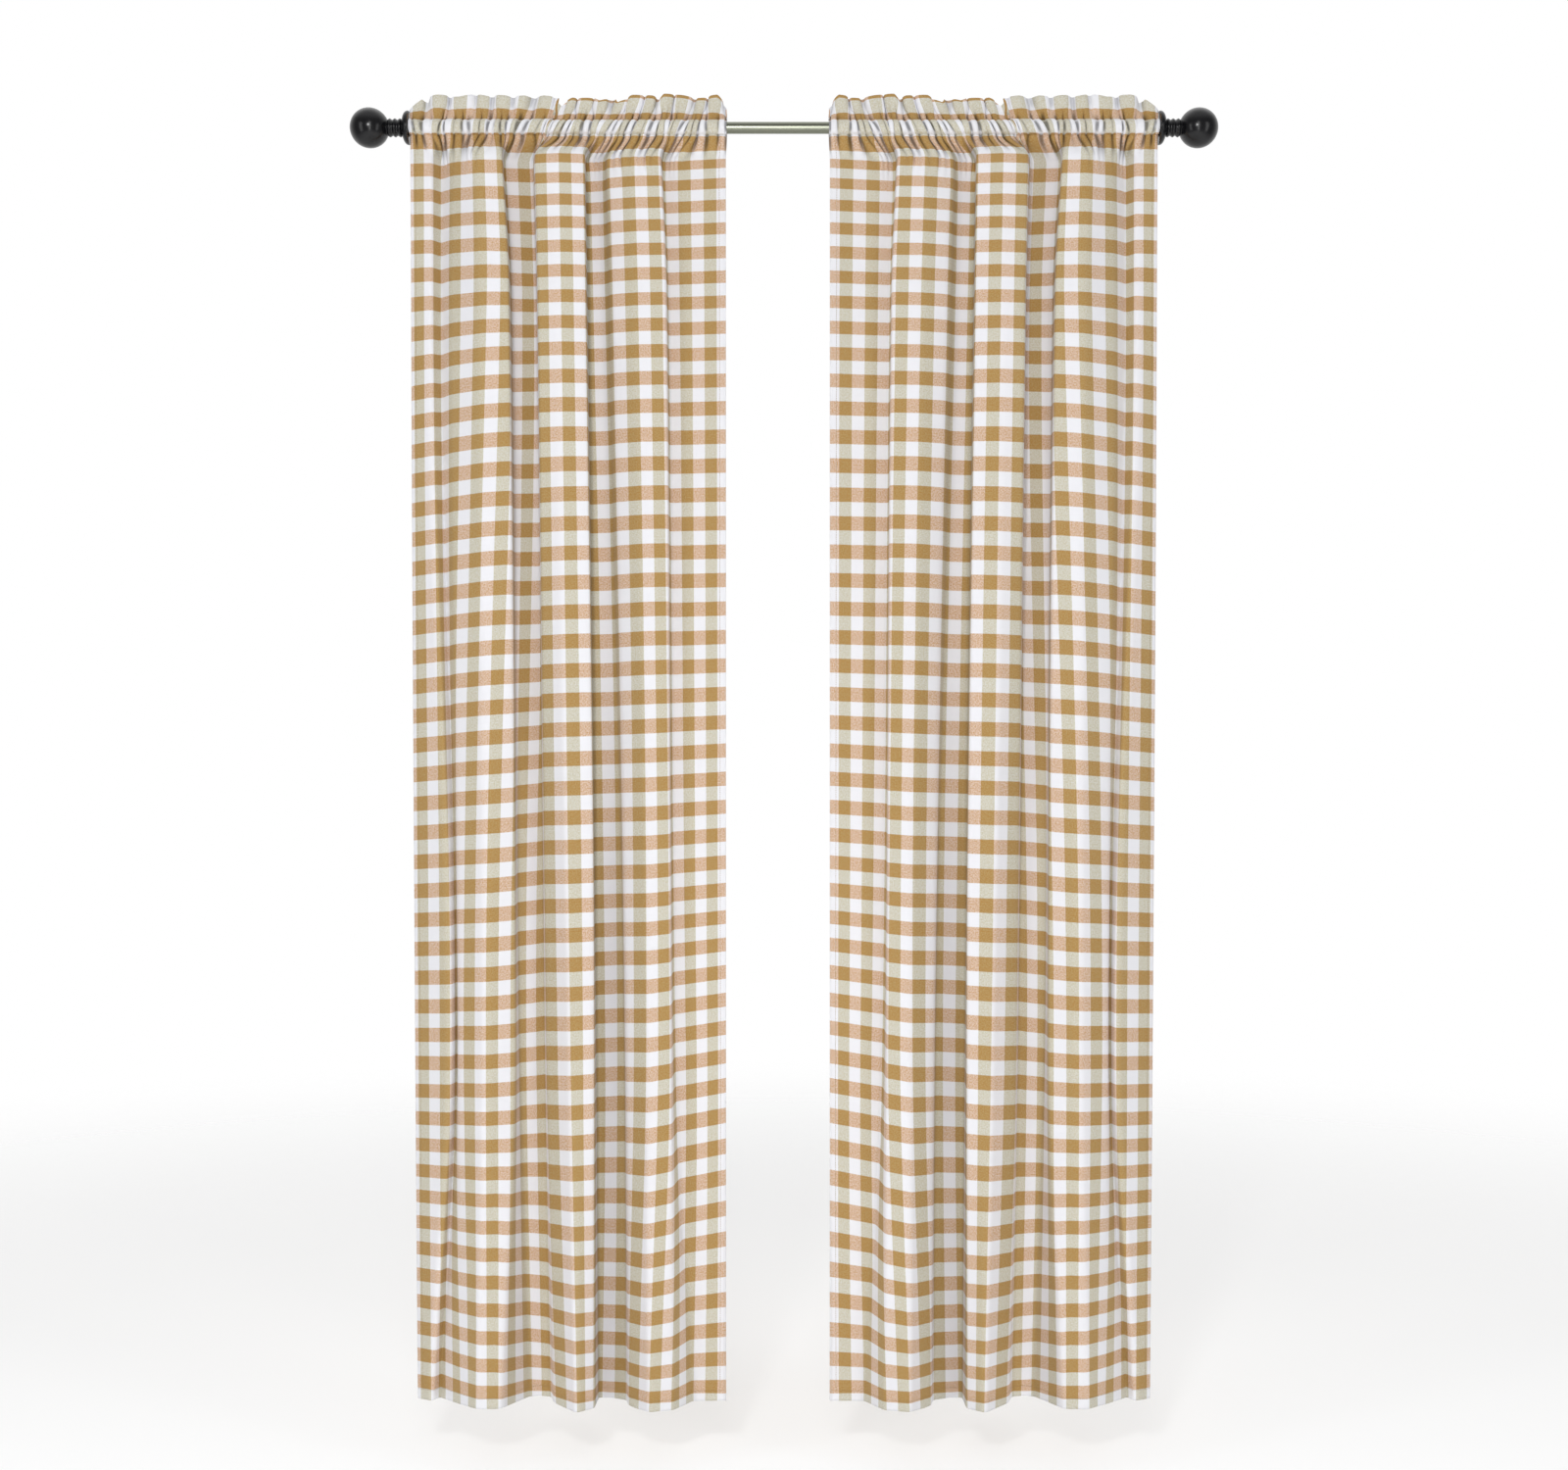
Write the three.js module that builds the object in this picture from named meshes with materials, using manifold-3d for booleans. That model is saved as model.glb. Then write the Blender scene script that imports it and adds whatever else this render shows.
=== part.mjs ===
// A pair of rod pocket curtain panels, gathered on one round rod with ball finials.
// Sizes are in millimetres. X runs along the rod, the room is on the -Y side and +Z is up.
// The origin lies on the rod's axis, midway between the finials.
import * as THREE from 'three';
import { mergeVertices } from 'three/addons/utils/BufferGeometryUtils.js';
import Module from 'manifold-3d';

const wasm = await Module();
wasm.setup();

// The rod is a 3/4 inch tube, and a finial closes each of its ends.
const ROD_RADIUS = 9.525;
const ROD_SIDES = 24;
const FINIAL_START = 612;
const SEAT_GAP = 0.3;

// A finial is turned in one piece: a flange flared like a bell, a neck with three ribs, and a ball.
const FLANGE_RADIUS = 27;
const FLANGE_LENGTH = 10;
const FLANGE_LIP = 1.5;
const FLANGE_STEPS = 5;
const NECK_RADIUS = 12.8;
const RIB_RADIUS = 14.8;
const RIB_COUNT = 3;
const RIB_STEPS = 4;
const BALL_RADIUS = 32;
const BALL_CENTRE = 676.5 - FINIAL_START;
const BALL_STEPS = 10;
const FINIAL_SIDES = 22;

// The cloth is 36 warp stripes wide. A stripe is 20.2 mm, so a panel is cut 727 mm wide.
// Places across the cloth are counted in stripes from the panel's outer edge.
const STRIPES = 36;
const OUTER_EDGE = 610;
const LEFT_WIDTH = 514;
const RIGHT_WIDTH = 534;
const CLOTH_THICKNESS = 1.6;
const DOUBLE_THICKNESS = 2.4;

// The heading: a standing ruffle, and a pocket between two rows of stitches.
const RUFFLE_TOP = 50;
const UPPER_STITCHES = 13.6;
const LOWER_STITCHES = -11.2;
const FAN_END = -50;
const POCKET_CLEARANCE = 0.35;
const POCKET_WALL = 1.2;
const POCKET_SIDES = 16;
const POCKET_ANGLES = [46, 90, 137];
const POCKET_FULLNESS = 3.4;

// Each gather of the heading takes four columns of the mesh, and each fold column is two of them.
const GATHERS = 24;
const COLUMNS_PER_GATHER = 4;
const COLUMNS = GATHERS * COLUMNS_PER_GATHER;
const RUFFLE_GATHER = 6.2;
const STITCHED_GATHER = 1.9;
const FAN_GATHER = 1.3;

// The outer part of the heading is gathered less than the inner part. In the tuck between them
// the cloth is crowded, so that its gathers have less depth.
const TUCK_START = 13.5;
const TUCK_END = 16.4;
const TUCK_GATHER = 0.3;
const HEADING = {
  along: [0, TUCK_START, TUCK_END, STRIPES],
  across: [0, 238, 256, LEFT_WIDTH],
};

// The folds hang as 18 fold lines, which run down the cloth through four level sections.
// The lines are, in order: outer edge, first shoulder, first valley, its far side, crown and edge
// of fold one, both sides of valley one, near edge, crown and far edge of fold two, both sides of
// valley two, near edge, crown and far edge of fold three, foot of the last face, inner edge.
// along: stripes from the outer edge. across: from the outer edge, along the rod.
// out: from the rod's axis towards the room.
const FOLD_SECTIONS = [
  {
    height: FAN_END,
    along: [0, 2, 3.3, 4.6, 6.7, 8.75, 11.1, 13.6, 16.35, 18.3, 20.4, 22.9, 24.4, 25.2, 27.3, 29.5, 31.1, 36],
    across: [0, 34, 47, 70, 112, 152, 148, 197, 205, 245, 286, 283, 314, 322, 366, 409, 410, 514],
    out: [-2, 2, -16, 4, 20, 19, -25, -30, 20, 25, 20, -27, -20, -5, 6, 8, -22, -4],
  },
  {
    height: -270,
    along: [0, 2, 3.3, 4.6, 7, 8.95, 11.3, 13.6, 16.4, 18.3, 20.3, 22.8, 24.4, 25.3, 27.3, 29.6, 31.3, 36],
    across: [0, 34, 47, 68, 122, 164, 160, 203, 210, 249, 289, 286, 318, 329, 372, 418, 418, 514],
    out: [-8, 2, -16, 5, 24, 22, -27, -33, 22, 28, 24, -28, -24, -8, 4, 8, -28, -8],
  },
  {
    height: -1490,
    along: [0, 3.3, 4.8, 5.8, 8.3, 10.7, 12.6, 15.2, 16.4, 18.3, 20.2, 22.5, 24.9, 25.6, 27.5, 29.4, 31.2, 36],
    across: [4, 67, 74, 79, 127, 173, 175, 216, 220, 263, 301, 299, 347, 350, 390, 426, 429, 514],
    out: [-22, 8, -14, 4, 26, 14, -20, -34, -12, 15, 10, -36, -32, -14, 10, 8, -24, -20],
  },
  {
    height: -2084,
    along: [0, 1.4, 2.5, 5, 7.5, 9.5, 13, 15.3, 16.1, 18.2, 20.4, 23, 25.3, 26.3, 28.3, 30.5, 33.3, 36],
    across: [7, 33, 42, 78, 114, 151, 190, 226, 233, 274, 301, 304, 351, 355, 391, 430, 460, 514],
    out: [-30, -16, -36, -2, 28, 26, -32, -38, -12, 27, 10, -40, -32, -12, 22, 14, -32, -30],
  },
];
const HEM_HEIGHT = FOLD_SECTIONS.at(-1).height;
const HEM_DEPTH = 18;
const BODY_HEIGHTS = [
  FAN_END, -85, -150, -270, -460, -700, -960, -1230, -1490, -1700, -1880, HEM_HEIGHT + HEM_DEPTH, HEM_HEIGHT,
];

// A fold turns over this many stripes to each side of its line.
const FOLD_ROUNDING = 0.5;
const ROUNDING_STEPS = [-1, -0.5, 0, 0.5, 1];

const brushedNickel = new THREE.MeshStandardMaterial({ color: 0xb4b6b8, roughness: 0.3, metalness: 1 });
const satinBlack = new THREE.MeshStandardMaterial({ color: 0x141416, roughness: 0.4, metalness: 0.3 });
const checkCotton = new THREE.MeshStandardMaterial({ color: 0xc9b795, roughness: 0.92, metalness: 0 });

// Straight lines between the listed places. Beyond the ends the last line goes on.
function onLine(places, values, place) {
  let i = 1;
  while (i < places.length - 1 && places[i] < place) i += 1;
  const share = (place - places[i - 1]) / (places[i] - places[i - 1]);
  return values[i - 1] + share * (values[i] - values[i - 1]);
}

// A curve through the listed places that keeps between neighbouring values.
function onCurve(places, values, place) {
  const last = places.length - 1;
  const step = (i) => places[i + 1] - places[i];
  const slope = (i) => (values[i + 1] - values[i]) / step(i);
  const tangent = (i) => {
    if (i === 0 || i === last) return slope(Math.min(i, last - 1));
    const before = slope(i - 1);
    const after = slope(i);
    return before * after > 0 ? (2 * before * after) / (before + after) : 0;
  };
  let i = 0;
  while (i < last - 1 && places[i + 1] < place) i += 1;
  const t = (place - places[i]) / step(i);
  const start = values[i] * (1 + 2 * t) * (1 - t) ** 2 + tangent(i) * step(i) * t * (1 - t) ** 2;
  const end = values[i + 1] * (3 - 2 * t) * t ** 2 - tangent(i + 1) * step(i) * t ** 2 * (1 - t);
  return start + end;
}

// The fold lines where they cross one height.
function foldLinesAt(height) {
  const depths = FOLD_SECTIONS.map((section) => -section.height);
  const down = (column) => FOLD_SECTIONS[0][column].map(
    (_, line) => onCurve(depths, FOLD_SECTIONS.map((section) => section[column][line]), -height),
  );
  return { along: down('along'), across: down('across'), out: down('out') };
}

// One place of the hanging cloth, with the corners of the folds rounded.
function foldPoint(lines, along) {
  const mean = (column) => ROUNDING_STEPS.reduce(
    (sum, step) => sum + onLine(lines.along, lines[column], along + step * FOLD_ROUNDING), 0,
  ) / ROUNDING_STEPS.length;
  return { across: mean('across'), out: mean('out') };
}

// The gathers come a little unevenly, and no two are equally deep.
function alongOfColumn(column) {
  const t = column / COLUMNS;
  return STRIPES * (t + 0.008 * Math.sin(8 * Math.PI * t) + 0.004 * Math.sin(18 * Math.PI * t));
}

function gatherAt(column) {
  const along = alongOfColumn(column);
  const inTuck = along > TUCK_START && along < TUCK_END;
  const depth = inTuck ? TUCK_GATHER : 0.85 + 0.25 * Math.sin(0.47 * along + 1);
  return depth * Math.cos((2 * Math.PI * column) / COLUMNS_PER_GATHER);
}

// Gives a row of points its two faces, half a thickness to each side in plan.
function thicken(points, thickness) {
  return points.map((point, i) => {
    const before = points[Math.max(i - 1, 0)];
    const after = points[Math.min(i + 1, points.length - 1)];
    const tangent = new THREE.Vector2(after.x - before.x, after.y - before.y).normalize();
    const side = new THREE.Vector3(tangent.y, -tangent.x, 0).multiplyScalar(thickness / 2);
    return { front: point.clone().add(side), back: point.clone().sub(side) };
  });
}

// A row of the heading. fan is how far the gathers have turned into the folds below.
function headingRow(height, gather, thickness, fan = 0) {
  const lines = foldLinesAt(FAN_END);
  const points = [];
  for (let column = 0; column <= COLUMNS; column += 1) {
    const along = alongOfColumn(column);
    const fold = foldPoint(lines, along);
    const across = THREE.MathUtils.lerp(onLine(HEADING.along, HEADING.across, along), fold.across, fan);
    const out = gather * gatherAt(column) + fan * fold.out;
    const rise = height === RUFFLE_TOP ? 3 * Math.sin(along * 1.9) : 0;
    points.push(new THREE.Vector3(across, -out, height + rise));
  }
  return thicken(points, thickness);
}

// A row of the pocket, at an angle from the top of the rod.
function pocketRow(degrees) {
  const angle = THREE.MathUtils.degToRad(degrees);
  const snug = ROD_RADIUS + POCKET_CLEARANCE + POCKET_WALL;
  const row = [];
  for (let column = 0; column <= COLUMNS; column += 1) {
    const across = onLine(HEADING.along, HEADING.across, alongOfColumn(column));
    const front = snug + (POCKET_FULLNESS * (1 + gatherAt(column))) / 2;
    const back = snug + (POCKET_FULLNESS * (1 - gatherAt(column))) / 2;
    row.push({
      front: new THREE.Vector3(across, -front * Math.sin(angle), front * Math.cos(angle)),
      back: new THREE.Vector3(across, back * Math.sin(angle), back * Math.cos(angle)),
    });
  }
  return row;
}

// A row of the hanging cloth, with half as many columns as the heading.
function bodyRow(height) {
  const lines = foldLinesAt(height);
  const points = [];
  for (let column = 0; column <= COLUMNS; column += 2) {
    const fold = foldPoint(lines, alongOfColumn(column));
    points.push(new THREE.Vector3(fold.across, -fold.out, height));
  }
  const inHem = height <= HEM_HEIGHT + HEM_DEPTH;
  return thicken(points, inHem ? DOUBLE_THICKNESS : CLOTH_THICKNESS);
}

function panelRows() {
  return [
    headingRow(RUFFLE_TOP, RUFFLE_GATHER, DOUBLE_THICKNESS),
    headingRow((RUFFLE_TOP + UPPER_STITCHES) / 2, RUFFLE_GATHER * 0.75, DOUBLE_THICKNESS),
    headingRow(UPPER_STITCHES, STITCHED_GATHER, DOUBLE_THICKNESS),
    ...POCKET_ANGLES.map(pocketRow),
    headingRow(LOWER_STITCHES, STITCHED_GATHER, DOUBLE_THICKNESS),
    headingRow((LOWER_STITCHES + FAN_END) / 2, FAN_GATHER, CLOTH_THICKNESS, 0.5),
    ...BODY_HEIGHTS.map(bodyRow),
  ];
}

// Joins two lines of vertices with triangles. The second may have half the first one's steps.
function joinLines(triangles, upper, lower) {
  const ratio = (upper.length - 1) / (lower.length - 1);
  for (let i = 0; i < lower.length - 1; i += 1) {
    const top = upper.slice(i * ratio, (i + 1) * ratio + 1);
    triangles.push(top[0], lower[i], top[1]);
    triangles.push(top[1], lower[i], lower[i + 1]);
    if (ratio === 2) triangles.push(top[1], lower[i + 1], top[2]);
  }
}

// The closed skin of the cloth: its two faces, joined round all four edges.
function skinOfRows(rows, mirrored) {
  const positions = [];
  const addLine = (row, face) => row.map((pair) => {
    positions.push(pair[face].x, pair[face].y, pair[face].z);
    return positions.length / 3 - 1;
  });
  const fronts = rows.map((row) => addLine(row, 'front'));
  const backs = rows.map((row) => addLine(row, 'back'));
  const frontFaces = [];
  const backFaces = [];
  for (let i = 0; i < rows.length - 1; i += 1) {
    joinLines(frontFaces, fronts[i], fronts[i + 1]);
    joinLines(backFaces, backs[i], backs[i + 1]);
  }
  joinLines(frontFaces, backs[0], fronts[0]);
  joinLines(frontFaces, fronts.at(-1), backs.at(-1));
  joinLines(frontFaces, backs.map((line) => line.at(-1)), fronts.map((line) => line.at(-1)));
  joinLines(frontFaces, fronts.map((line) => line[0]), backs.map((line) => line[0]));
  const flipped = (list) => list.map((_, i) => list[i - (i % 3) + [0, 2, 1][i % 3]]);
  const index = mirrored ? [...flipped(frontFaces), ...backFaces] : [...frontFaces, ...flipped(backFaces)];
  const geometry = new THREE.BufferGeometry();
  geometry.setAttribute('position', new THREE.Float32BufferAttribute(positions, 3));
  geometry.setIndex(index);
  return geometry;
}

function toSolid(geometry) {
  const bare = geometry.clone();
  bare.deleteAttribute('normal');
  bare.deleteAttribute('uv');
  const welded = mergeVertices(bare);
  return new wasm.Manifold(new wasm.Mesh({
    numProp: 3,
    vertProperties: new Float32Array(welded.attributes.position.array),
    triVerts: new Uint32Array(welded.index.array),
  }));
}

function toGeometry(solid) {
  const mesh = solid.getMesh();
  const geometry = new THREE.BufferGeometry();
  geometry.setAttribute('position', new THREE.BufferAttribute(mesh.vertProperties, 3));
  geometry.setIndex(new THREE.BufferAttribute(mesh.triVerts, 1));
  return geometry;
}

// One panel. side is -1 for the left panel and 1 for the right one, its wider mirror image.
function panelGeometry(side, width) {
  const skin = skinOfRows(panelRows(), side > 0);
  skin.scale((-side * width) / LEFT_WIDTH, 1, 1);
  skin.translate(side * OUTER_EDGE, 0, 0);
  const hollowRadius = (ROD_RADIUS + POCKET_CLEARANCE) / Math.cos(Math.PI / POCKET_SIDES);
  const hollow = new THREE.CylinderGeometry(hollowRadius, hollowRadius, 2 * FINIAL_START, POCKET_SIDES);
  hollow.rotateZ(Math.PI / 2);
  return toGeometry(toSolid(skin).subtract(toSolid(hollow)));
}

function rodGeometry() {
  const length = 2 * (FINIAL_START - SEAT_GAP);
  return new THREE.CylinderGeometry(ROD_RADIUS, ROD_RADIUS, length, ROD_SIDES).rotateZ(Math.PI / 2);
}

// Half the outline of a finial, as radius and distance from the end of the rod.
function finialProfile() {
  const outline = [new THREE.Vector2(0, 0)];
  outline.push(new THREE.Vector2(FLANGE_RADIUS, 0));
  for (let i = 0; i <= FLANGE_STEPS; i += 1) {
    const angle = ((Math.PI / 2) * i) / FLANGE_STEPS;
    const radius = NECK_RADIUS + (FLANGE_RADIUS - NECK_RADIUS) * Math.cos(angle);
    outline.push(new THREE.Vector2(radius, FLANGE_LIP + (FLANGE_LENGTH - FLANGE_LIP) * Math.sin(angle)));
  }
  const ballStart = Math.PI - Math.asin(NECK_RADIUS / BALL_RADIUS);
  const neckLength = BALL_CENTRE + BALL_RADIUS * Math.cos(ballStart) - FLANGE_LENGTH;
  for (let i = 1; i < RIB_COUNT * RIB_STEPS; i += 1) {
    const swell = (1 - Math.cos((2 * Math.PI * i) / RIB_STEPS)) / 2;
    const radius = NECK_RADIUS + (RIB_RADIUS - NECK_RADIUS) * swell;
    outline.push(new THREE.Vector2(radius, FLANGE_LENGTH + (neckLength * i) / (RIB_COUNT * RIB_STEPS)));
  }
  for (let i = 0; i < BALL_STEPS; i += 1) {
    const angle = ballStart * (1 - i / BALL_STEPS);
    outline.push(new THREE.Vector2(BALL_RADIUS * Math.sin(angle), BALL_CENTRE + BALL_RADIUS * Math.cos(angle)));
  }
  outline.push(new THREE.Vector2(0, BALL_CENTRE + BALL_RADIUS));
  return outline;
}

function namedMesh(name, geometry, material) {
  const mesh = new THREE.Mesh(geometry, material);
  mesh.name = name;
  return mesh;
}

function finialMesh(name, side) {
  const mesh = namedMesh(name, new THREE.LatheGeometry(finialProfile(), FINIAL_SIDES), satinBlack);
  mesh.rotation.z = (-side * Math.PI) / 2;
  mesh.position.x = side * FINIAL_START;
  return mesh;
}

const curtains = new THREE.Group();
curtains.add(namedMesh('rod', rodGeometry(), brushedNickel));
curtains.add(finialMesh('finial_left', -1));
curtains.add(finialMesh('finial_right', 1));
curtains.add(namedMesh('panel_left', panelGeometry(-1, LEFT_WIDTH), checkCotton));
curtains.add(namedMesh('panel_right', panelGeometry(1, RIGHT_WIDTH), checkCotton));

export default curtains;
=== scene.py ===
# %% [markdown]
# A pair of check curtain panels on a rod
#
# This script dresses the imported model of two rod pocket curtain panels, a round rod and two ball
# finials. The model gives the box that everything has to fit. The script makes each visible surface
# again, finer, and gives it its finish. Places are in metres in the model's own frame: X runs along
# the rod, the room is on the -Y side, and +Z is up. Only the cloth is worked out in millimetres,
# until it is hung.

# %% Load the frame
import math

import bpy
import numpy as np
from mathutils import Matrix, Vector


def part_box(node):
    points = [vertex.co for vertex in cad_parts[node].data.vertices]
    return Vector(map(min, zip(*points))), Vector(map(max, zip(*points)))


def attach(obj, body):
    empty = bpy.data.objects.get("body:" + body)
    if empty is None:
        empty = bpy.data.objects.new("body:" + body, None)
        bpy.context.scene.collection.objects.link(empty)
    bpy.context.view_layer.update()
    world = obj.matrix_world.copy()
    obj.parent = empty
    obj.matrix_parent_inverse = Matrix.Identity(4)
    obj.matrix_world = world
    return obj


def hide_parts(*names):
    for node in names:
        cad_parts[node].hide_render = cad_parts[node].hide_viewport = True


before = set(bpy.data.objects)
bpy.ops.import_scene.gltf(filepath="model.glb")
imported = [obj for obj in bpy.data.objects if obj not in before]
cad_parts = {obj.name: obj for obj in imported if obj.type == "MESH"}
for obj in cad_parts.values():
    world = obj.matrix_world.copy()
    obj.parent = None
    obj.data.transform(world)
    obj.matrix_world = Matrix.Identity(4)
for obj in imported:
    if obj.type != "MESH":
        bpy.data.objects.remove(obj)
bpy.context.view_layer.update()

MM = 0.001
BODY = "root"

# %% [markdown]
# The camera comes first, because every later choice is judged through it. The photo is 1600 by
# 1500 pixels, and a pixel is 1.6 mm at the rod. The lens is level with row 800, a little below the
# middle of the picture, so the camera stays level and its picture is shifted instead of tilted.
# A tilt would make the straight edges of the panels lean towards each other.

# %% The camera
PHOTO_WIDTH = 1600
PHOTO_HEIGHT = 1500
PIXEL = 1.6 * MM
ROD_ROW = 130.5
LENS_ROW = 800
CAMERA_DISTANCE = 3.25
SENSOR_WIDTH = 36

camera_data = bpy.data.cameras.new("camera")
camera_data.sensor_width = SENSOR_WIDTH
camera_data.lens = SENSOR_WIDTH * CAMERA_DISTANCE / (PHOTO_WIDTH * PIXEL)
camera_data.shift_y = (LENS_ROW - PHOTO_HEIGHT / 2) / PHOTO_WIDTH
camera = bpy.data.objects.new("camera", camera_data)
camera.location = (0, -CAMERA_DISTANCE, (ROD_ROW - LENS_ROW) * PIXEL)
camera.rotation_euler = (math.pi / 2, 0, 0)
bpy.context.scene.collection.objects.link(camera)
bpy.context.scene.camera = camera
bpy.context.scene.view_settings.view_transform = "Standard"
print("lens", round(camera_data.lens, 1), "mm, height", round(camera.location.z, 3))

# %% [markdown]
# A material is a tree of nodes. Building it by hand takes many lines that say little, so three small
# classes make it read like arithmetic. `Nodes` holds a tree and makes any node in it with one
# method. `Value` wraps one output of a node, so that `1 - mask * 0.5` adds the Math nodes for it.
# `Finish` is the tree of one material. The world and the stitches use `Nodes` too.

# %% Shader arithmetic
class Value:
    """One output of a node, which can be added, subtracted, multiplied and blended."""

    def __init__(self, nodes, socket):
        self.nodes = nodes
        self.socket = socket

    def other(self, output):
        """Another output of the same node."""
        return Value(self.nodes, self.socket.node.outputs[output])

    def math(self, operation, *inputs):
        return self.nodes.add("ShaderNodeMath", {"operation": operation}, dict(enumerate(inputs)))

    def __add__(self, other):
        return self.math("ADD", self, other)

    def __sub__(self, other):
        return self.math("SUBTRACT", self, other)

    def __rsub__(self, other):
        return self.math("SUBTRACT", other, self)

    def __mul__(self, other):
        return self.math("MULTIPLY", self, other)

    __radd__ = __add__
    __rmul__ = __mul__

    def sine(self):
        return self.math("SINE", self)

    def clamped(self):
        return self.nodes.add("ShaderNodeClamp", {}, {"Value": self})

    def ramp(self, start, end, first, last):
        """Goes smoothly from the first value to the last while this one grows from start to end."""
        limits = {"Value": self, "From Min": start, "From Max": end, "To Min": first, "To Max": last}
        return self.nodes.add("ShaderNodeMapRange", {"interpolation_type": "SMOOTHSTEP"}, limits, "Result")

    def blend(self, low, high):
        """A colour between two others, with this value as the share of the second."""
        return self.nodes.mix(self, low, high)


class Nodes:
    """A tree of nodes, of a material, a world or a geometry group."""

    def __init__(self, tree):
        self.tree = tree

    def plug(self, sockets, key, value):
        """Links a value to a socket, or sets the socket to anything else, such as a number."""
        by_identifier = [s for s in sockets if s.identifier == key]
        socket = by_identifier[0] if by_identifier else sockets[key]
        if isinstance(value, Value):
            self.tree.links.new(value.socket, socket)
        else:
            socket.default_value = value

    def add(self, kind, settings, inputs, output=0):
        """Makes a node, sets it up, fills its inputs and gives back one of its outputs."""
        node = self.tree.nodes.new(kind)
        for name, value in settings.items():
            setattr(node, name, value)
        for key, value in inputs.items():
            self.plug(node.inputs, key, value)
        found = [s for s in node.outputs if s.identifier == output]
        return Value(self, found[0] if found else node.outputs[output])

    def mix(self, share, low, high):
        inputs = {"Factor_Float": share, "A_Color": low, "B_Color": high}
        return self.add("ShaderNodeMix", {"data_type": "RGBA"}, inputs, "Result_Color")


class Finish(Nodes):
    """One material. What is the same all over is set on its shader as a number."""

    def __init__(self, name, **constants):
        self.material = bpy.data.materials.new(name)
        self.material.use_nodes = True
        super().__init__(self.material.node_tree)
        self.shader = self.tree.nodes["Principled BSDF"]
        for socket_name, value in constants.items():
            self.shader.inputs[socket_name.replace("_", " ")].default_value = value

    def place(self):
        return self.add("ShaderNodeTexCoord", {}, {}, "Object")

    def stretched(self, vector, stretch):
        return self.add("ShaderNodeMapping", {}, {"Vector": vector, "Scale": stretch})

    def noise(self, vector, scale, detail=2.0):
        return self.add("ShaderNodeTexNoise", {}, {"Vector": vector, "Scale": scale, "Detail": detail})

    def uses(self, **inputs):
        """Plugs what varies over the surface into the shader."""
        for name, value in inputs.items():
            self.plug(self.shader.inputs, name.replace("_", " "), value)

    def raises(self, height, depth, strength=1.0):
        """Turns a height between 0 and 1 into dents of that depth in metres."""
        inputs = {"Height": height, "Distance": depth, "Strength": strength}
        self.plug(self.shader.inputs, "Normal", self.add("ShaderNodeBump", {}, inputs, "Normal"))


def link(obj):
    bpy.context.scene.collection.objects.link(obj)
    return obj


def mesh_object(name, vertices, faces, finish, flipped=False):
    """A smooth object from lists of places and faces, with one finish."""
    mesh = bpy.data.meshes.new(name)
    turned = [face[::-1] for face in faces] if flipped else faces
    mesh.from_pydata([tuple(v) for v in vertices], [], [tuple(face) for face in turned])
    mesh.polygons.foreach_set("use_smooth", [True] * len(mesh.polygons))
    mesh.materials.append(finish.material)
    mesh.update()
    return link(bpy.data.objects.new(name, mesh))

# %% [markdown]
# The studio is a pale round floor under the hems and soft light. The world is white behind the
# curtains and overhead, and dimmer on the room's side, so that the folds keep some shade. The
# backdrop itself looks white from every side, so only the light that it gives has a side. A large
# soft lamp stands far out to the left and another to the right, so each panel is lit mostly from
# its outer side, as in the photo. A tall lamp behind the camera lights the bottoms of the folds and
# gives the rod its bright line, and a small one beside it sharpens the gathers and puts the bright
# spot on each ball. The floor fades out at its rim, so it has no edge against the white backdrop.

# %% Floor, world and lamps
FLOOR_HEIGHT = -2.2
FLOOR_RADIUS = 5.0
FLOOR_FADE_START = 1.6
FLOOR_SIDES = 96
FLOOR_WHITE = (0.95, 0.95, 0.95, 1)
BACKDROP_LIGHT = 1.0
ROOM_LIGHT = 0.22
OVERHEAD_LIGHT = 0.65
BACKDROP_EDGE = (-0.3, 0.6)
OVERHEAD_EDGE = (0.5, 0.95)
SIDE_LAMP = {"size": (0.8, 2.4), "power": 12}
LAMPS = {
    "side_lamp_left": {"place": (-2.5, -2.1, -0.5), "target": (-0.36, 0, -1.0), **SIDE_LAMP},
    "side_lamp_right": {"place": (2.5, -2.1, -0.5), "target": (0.36, 0, -1.0), **SIDE_LAMP},
    "front_lamp": {"place": (0, -3.6, -0.45), "target": (0, 0, -0.6), "size": (0.6, 3.2), "power": 26},
    "key_lamp": {"place": (-0.5, -3.5, 0.1), "target": (0, 0, -0.8), "size": (0.3, 0.3), "power": 28},
}


def floor_finish():
    finish = Finish("floor_paint", Base_Color=FLOOR_WHITE)
    flat_place = finish.stretched(finish.place(), (1, 1, 0))
    away = finish.add("ShaderNodeVectorMath", {"operation": "LENGTH"}, {0: flat_place}, "Value")
    finish.uses(
        Roughness=0.85 + 0.1 * finish.noise(flat_place, 3.0),
        Alpha=away.ramp(FLOOR_FADE_START, FLOOR_RADIUS, 1, 0),
    )
    return finish


def round_floor():
    rim = [2 * math.pi * i / FLOOR_SIDES for i in range(FLOOR_SIDES)]
    points = [(FLOOR_RADIUS * math.cos(a), FLOOR_RADIUS * math.sin(a), FLOOR_HEIGHT) for a in rim]
    return mesh_object("floor", points, [list(range(FLOOR_SIDES))], floor_finish())


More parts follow.
